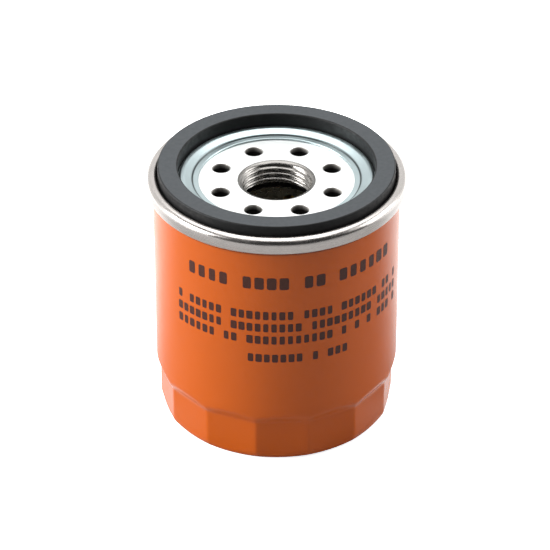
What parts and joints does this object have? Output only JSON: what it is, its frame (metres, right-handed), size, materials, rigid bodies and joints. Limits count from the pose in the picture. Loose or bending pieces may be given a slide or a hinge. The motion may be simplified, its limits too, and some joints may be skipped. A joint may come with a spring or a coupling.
{
  "type": "spin-on oil filter",
  "caption": "Small spin-on engine oil filter: enamelled can with wrench flats, rolled seam, ring gasket, drilled and threaded plate, and the element and valves inside.",
  "frame": {"origin": "the middle of the ring that the can stands on, at the filter's closed end", "axes": "+Z along the filter's axis towards the engine, through the thread and the gasket; +X and +Y across the can, with an inlet half a pitch either side of each"},
  "size_m": [0.0688, 0.0688, 0.074],
  "materials": {
    "orange_enamel": "gloss enamel over deep-drawn steel",
    "lid_steel": "bare rolled sheet with a satin sheen",
    "seam_paste": "set sealing compound",
    "gasket_rubber": "matt black nitrile, greyer on the moulded top",
    "plate_zinc": "bright zinc plate, cut thread left oily",
    "valve_rubber": "oily black nitrile",
    "cap_steel": "tinplate",
    "plastisol": "cast plastisol",
    "filter_paper": "resin-treated pleated paper",
    "clip_steel": "plain folded strip",
    "tube_steel": "perforated tinplate",
    "valve_nylon": "moulded nylon",
    "seal_rubber": "moulded rubber",
    "poppet_steel": "zinc-plated pressing",
    "pin_steel": "turned steel",
    "spring_steel": "oiled spring steel"
  },
  "bodies": {
    "housing": {"can": "orange_enamel", "seaming_lid": "lid_steel", "seam_compound": "seam_paste", "tapping_plate": "plate_zinc", "gasket": "gasket_rubber", "load_spring": "spring_steel"},
    "element": {"upper_end_cap": "cap_steel", "lower_end_cap": "cap_steel", "upper_plastisol": "plastisol", "lower_plastisol": "plastisol", "center_tube": "tube_steel", "pleated_media": "filter_paper", "media_seam_clip": "clip_steel", "bypass_valve_body": "valve_nylon", "bypass_spring": "spring_steel", "bypass_spring_retainer": "cap_steel"},
    "bypass_poppet": {"bypass_seal": "seal_rubber", "bypass_poppet": "poppet_steel", "bypass_guide_pin": "pin_steel"},
    "drainback_valve": {"anti_drainback_valve": "valve_rubber"}
  },
  "joints": [
    {"name": "element_float", "type": "slide", "parent": "housing", "child": "element", "axis": [0, 0, 1], "range_m": [-0.0015, 0], "stiffness_N_per_m": 10000, "springref_m": 0.005, "deforming": ["load_spring"]},
    {"name": "bypass_poppet_lift", "type": "slide", "parent": "element", "child": "bypass_poppet", "axis": [0, 0, 1], "range_m": [0, 0.0025], "stiffness_N_per_m": 1400, "springref_m": -0.0067, "deforming": ["bypass_spring"]},
    {"name": "drainback_valve_lift", "type": "slide", "parent": "housing", "child": "drainback_valve", "axis": [0, 0, 1], "range_m": [-0.0012, 0], "stiffness_N_per_m": 150, "springref_m": 0.004, "deforming": ["anti_drainback_valve"]}
  ]
}
